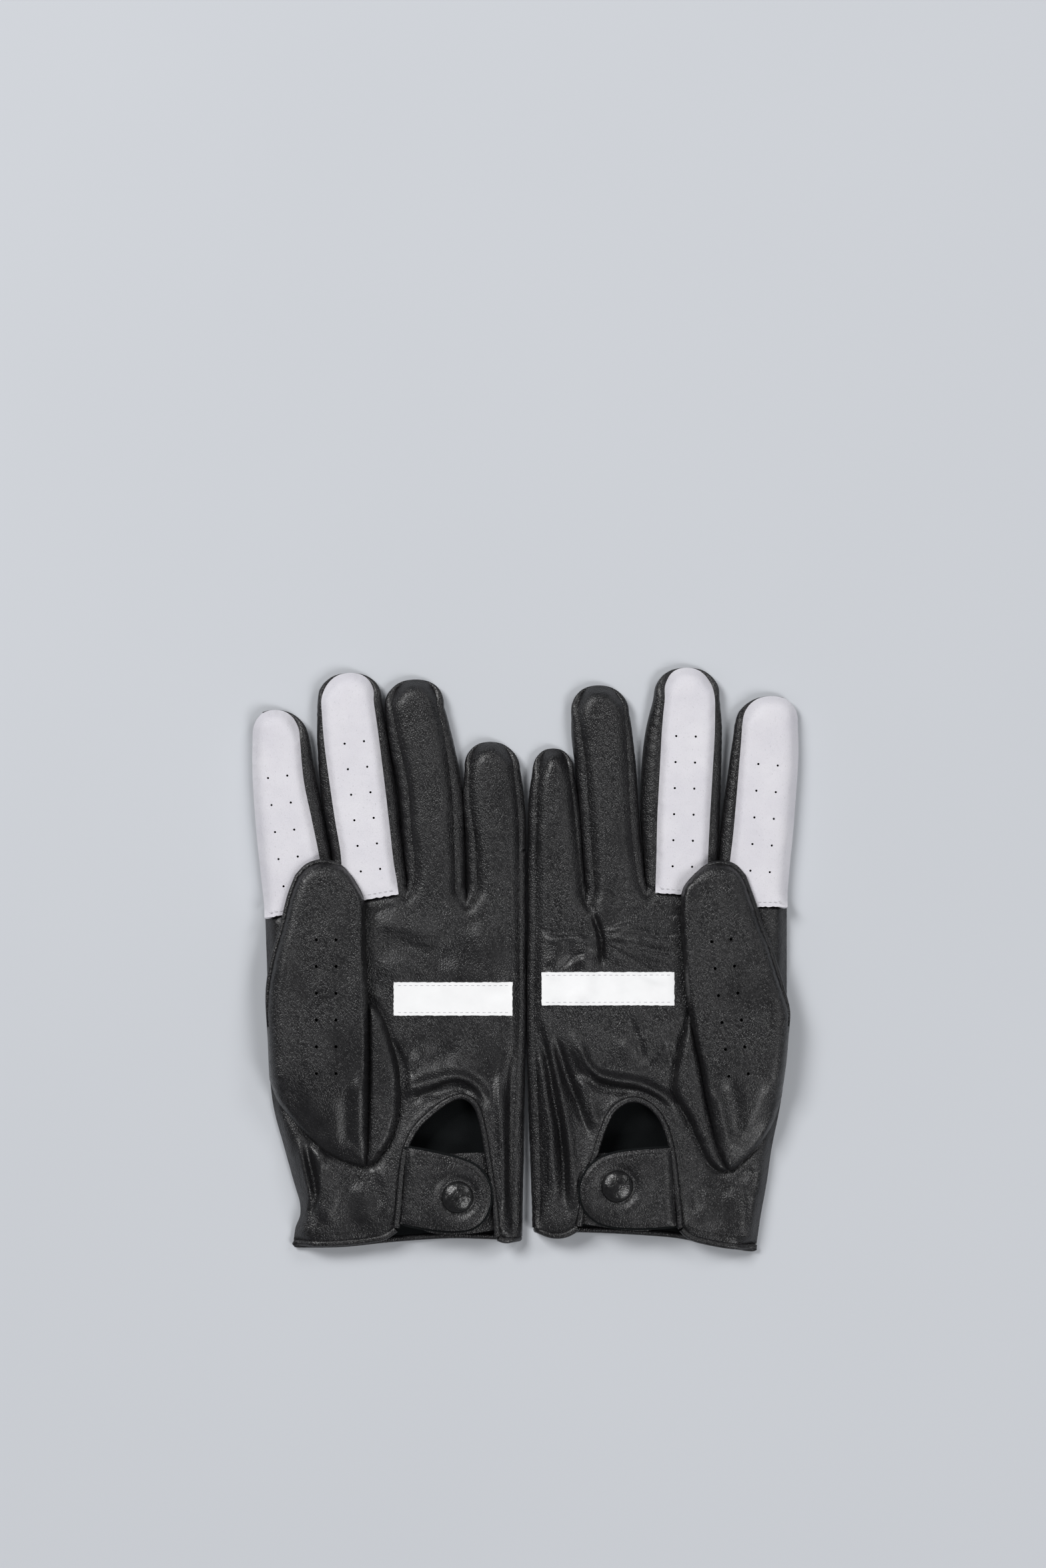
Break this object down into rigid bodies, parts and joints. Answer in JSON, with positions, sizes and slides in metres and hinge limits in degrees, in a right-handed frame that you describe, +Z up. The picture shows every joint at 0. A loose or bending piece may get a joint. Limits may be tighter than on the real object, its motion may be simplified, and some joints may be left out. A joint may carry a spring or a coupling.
{
  "type": "leather driving gloves",
  "caption": "Short leather driving gloves lying palm up, with pale suede finger fronts, folded thumbs, wrist vents and snap straps.",
  "frame": {"origin": "middle of the pair's footprint, on the surface that it lies on", "axes": "+X from the left-hand glove to the right-hand glove, +Y from the cuffs to the fingertips, +Z up, away from the surface"},
  "size_m": [0.214, 0.2291, 0.0183],
  "materials": {
    "black_leather": "black dyed nappa, fine pebbled grain, soft satin sheen",
    "white_suede": "off-white suede, matt, short nap",
    "white_coat": "smooth white coat pressed on leather, satin",
    "snap_metal": "blackened brass press stud, worn bright on its edges",
    "black_elastic": "woven elastic, matt",
    "black_thread": "twisted polyester thread, satin",
    "white_thread": "twisted polyester thread, satin",
    "black_suede": "flesh side of the black leather, matt, short nap"
  },
  "bodies": {
    "left_glove": {"left_back_panel": "black_leather", "left_palm_panel": "black_leather", "left_palm_band": "white_coat", "left_index_front_base": "white_suede", "left_middle_front_base": "white_suede", "left_fourchette_index_middle": "black_leather", "left_fourchette_middle_ring": "black_leather", "left_fourchette_ring_little": "black_leather", "left_thumb_base": "black_leather", "left_vent_binding": "black_leather", "left_cuff_binding": "black_leather", "left_wrist_elastic": "black_elastic", "left_strap_underlap": "black_leather", "left_snap_stud": "snap_metal"},
    "left_index_finger": {"left_index_front": "white_suede", "left_index_side": "black_leather", "left_index_back": "black_leather"},
    "left_middle_finger": {"left_middle_front": "white_suede", "left_middle_side": "black_leather", "left_middle_back": "black_leather"},
    "left_ring_finger": {"left_ring_front": "black_leather", "left_ring_side": "black_leather", "left_ring_back": "black_leather"},
    "left_little_finger": {"left_little_front": "black_leather", "left_little_side": "black_leather", "left_little_back": "black_leather"},
    "left_thumb": {"left_thumb_sleeve": "black_leather"},
    "left_strap": {"left_strap": "black_leather", "left_snap_cap": "black_leather", "left_snap_socket": "snap_metal"},
    "right_glove": {"right_back_panel": "black_leather", "right_palm_panel": "black_leather", "right_palm_band": "white_coat", "right_index_front_base": "white_suede", "right_middle_front_base": "white_suede", "right_fourchette_index_middle": "black_leather", "right_fourchette_middle_ring": "black_leather", "right_fourchette_ring_little": "black_leather", "right_thumb_base": "black_leather", "right_vent_binding": "black_leather", "right_cuff_binding": "black_leather", "right_wrist_elastic": "black_elastic", "right_strap_underlap": "black_leather", "right_snap_stud": "snap_metal"},
    "right_index_finger": {"right_index_front": "white_suede", "right_index_side": "black_leather", "right_index_back": "black_leather"},
    "right_middle_finger": {"right_middle_front": "white_suede", "right_middle_side": "black_leather", "right_middle_back": "black_leather"},
    "right_ring_finger": {"right_ring_front": "black_leather", "right_ring_side": "black_leather", "right_ring_back": "black_leather"},
    "right_little_finger": {"right_little_front": "black_leather", "right_little_side": "black_leather", "right_little_back": "black_leather"},
    "right_thumb": {"right_thumb_sleeve": "black_leather"},
    "right_strap": {"right_strap": "black_leather", "right_snap_cap": "black_leather", "right_snap_socket": "snap_metal"}
  },
  "joints": [
    {"name": "gloves_apart", "type": "slide", "parent": "left_glove", "child": "right_glove", "axis": [1, 0, 0], "range_m": [0, 0.15]},
    {"name": "left_index_curl", "type": "hinge", "parent": "left_glove", "child": "left_index_finger", "pos_m": [-0.0935, 0.047, 0.01], "axis": [0.9961, 0.0883, 0], "range_deg": [0, 80]},
    {"name": "left_middle_curl", "type": "hinge", "parent": "left_glove", "child": "left_middle_finger", "pos_m": [-0.06369, 0.053, 0.01], "axis": [0.9967, 0.0808, 0], "range_deg": [0, 80]},
    {"name": "left_ring_curl", "type": "hinge", "parent": "left_glove", "child": "left_ring_finger", "pos_m": [-0.03645, 0.052, 0.01], "axis": [0.9936, 0.1129, 0], "range_deg": [0, 80]},
    {"name": "left_little_curl", "type": "hinge", "parent": "left_glove", "child": "left_little_finger", "pos_m": [-0.01102, 0.043, 0.01], "axis": [0.9978, 0.0656, 0], "range_deg": [0, 80]},
    {"name": "left_thumb_lift", "type": "hinge", "parent": "left_glove", "child": "left_thumb", "pos_m": [-0.081, -0.022, 0.0183], "axis": [1, 0, 0], "range_deg": [0, 60]},
    {"name": "left_strap_open", "type": "hinge", "parent": "left_glove", "child": "left_strap", "pos_m": [-0.04805, -0.08745, 0.0119], "axis": [-0.0738, -0.9973, 0], "range_deg": [0, 140]},
    {"name": "right_index_curl", "type": "hinge", "parent": "right_glove", "child": "right_index_finger", "pos_m": [0.09262, 0.047, 0.01], "axis": [0.998, -0.0636, 0], "range_deg": [0, 80]},
    {"name": "right_middle_curl", "type": "hinge", "parent": "right_glove", "child": "right_middle_finger", "pos_m": [0.06157, 0.053, 0.01], "axis": [0.9997, -0.0233, 0], "range_deg": [0, 80]},
    {"name": "right_ring_curl", "type": "hinge", "parent": "right_glove", "child": "right_ring_finger", "pos_m": [0.0331, 0.052, 0.01], "axis": [0.9967, 0.081, 0], "range_deg": [0, 80]},
    {"name": "right_little_curl", "type": "hinge", "parent": "right_glove", "child": "right_little_finger", "pos_m": [0.01223, 0.043, 0.01], "axis": [0.9993, 0.0361, 0], "range_deg": [0, 80]},
    {"name": "right_thumb_lift", "type": "hinge", "parent": "right_glove", "child": "right_thumb", "pos_m": [0.083, -0.023, 0.0183], "axis": [1, 0, 0], "range_deg": [0, 60]},
    {"name": "right_strap_open", "type": "hinge", "parent": "right_glove", "child": "right_strap", "pos_m": [0.0581, -0.08805, 0.0119], "axis": [-0.0688, 0.9976, 0], "range_deg": [0, 140]}
  ]
}
